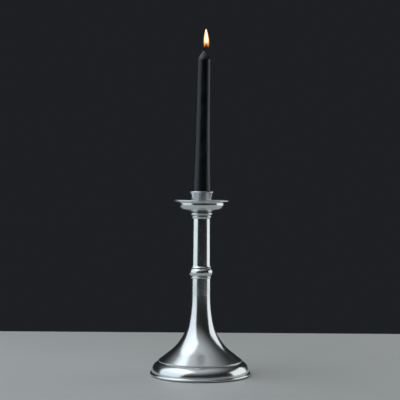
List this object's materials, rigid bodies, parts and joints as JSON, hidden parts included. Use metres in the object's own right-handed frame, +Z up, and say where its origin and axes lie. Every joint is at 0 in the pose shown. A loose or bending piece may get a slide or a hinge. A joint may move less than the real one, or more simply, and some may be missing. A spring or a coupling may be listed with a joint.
{
  "type": "candlestick",
  "caption": "Turned silver candlestick with a trumpet foot, knopped column, lift-out drip pan and cup, and a black taper candle that lifts out.",
  "frame": {"origin": "on the candlestick's axis, at the underside of the felt pad, which is the surface it stands on", "axes": "+Z up along the axis of the column and candle; the candlestick is round, so +X and +Y are free, and the wick's tip bends towards +X"},
  "size_m": [0.1246, 0.1246, 0.4071],
  "materials": {
    "silver": "satin",
    "plain_steel": "satin",
    "cast_iron": "matte",
    "felt": "matte",
    "black_wax": "satin",
    "wick": "matte",
    "flame": "gloss"
  },
  "bodies": {
    "stand": {"foot_band": "silver", "foot_wire": "silver", "base_plate": "plain_steel", "ballast": "cast_iron", "ballast_screws": "plain_steel", "felt_pad": "felt", "trumpet_stem": "silver", "knop": "silver", "upper_stem": "silver", "capital": "silver", "tie_rod": "plain_steel", "base_washer": "plain_steel", "base_nut": "plain_steel"},
    "nozzle": {"drip_pan": "silver", "pan_rim_wire": "silver", "candle_cup": "silver", "nozzle_spigot": "silver", "nozzle_screw": "plain_steel"},
    "candle": {"candle_wax": "black_wax", "candle_wick": "wick"}
  },
  "joints": [
    {"name": "nozzle_lift", "type": "slide", "parent": "stand", "child": "nozzle", "axis": [0, 0, 1], "range_m": [0, 0.03]},
    {"name": "candle_lift", "type": "slide", "parent": "nozzle", "child": "candle", "axis": [0, 0, 1], "range_m": [0, 0.04]}
  ]
}
